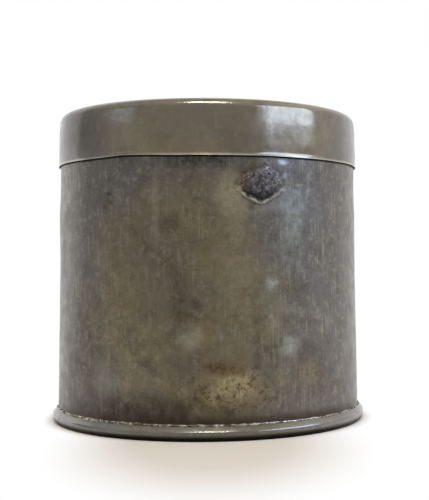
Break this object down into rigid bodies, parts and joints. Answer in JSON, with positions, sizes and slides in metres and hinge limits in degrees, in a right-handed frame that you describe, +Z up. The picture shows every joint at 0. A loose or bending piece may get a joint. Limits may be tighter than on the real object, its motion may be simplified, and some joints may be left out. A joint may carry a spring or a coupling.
{
  "type": "cocoa tin",
  "caption": "Round tinplate cocoa tin, shut with a drawn slip lid, with a lapped side seam and a thick rolled rim round its base.",
  "frame": {"origin": "on the tin's axis, at the level of the standing ring that it rests on", "axes": "+Z up along the tin's axis; -Y is the front that is usually shown, and the side seam is at the back, towards +Y"},
  "size_m": [0.0896, 0.0896, 0.086],
  "materials": {
    "tinplate_wall": "dull, tarnished tinplate",
    "tinplate_lid": "worn, tarnished tinplate",
    "tinplate_base": "rubbed, tarnished tinplate",
    "solder": "dull grey solder"
  },
  "bodies": {
    "root": {"body": "tinplate_wall", "lid": "tinplate_lid", "base": "tinplate_base", "solder": "solder"}
  },
  "joints": []
}
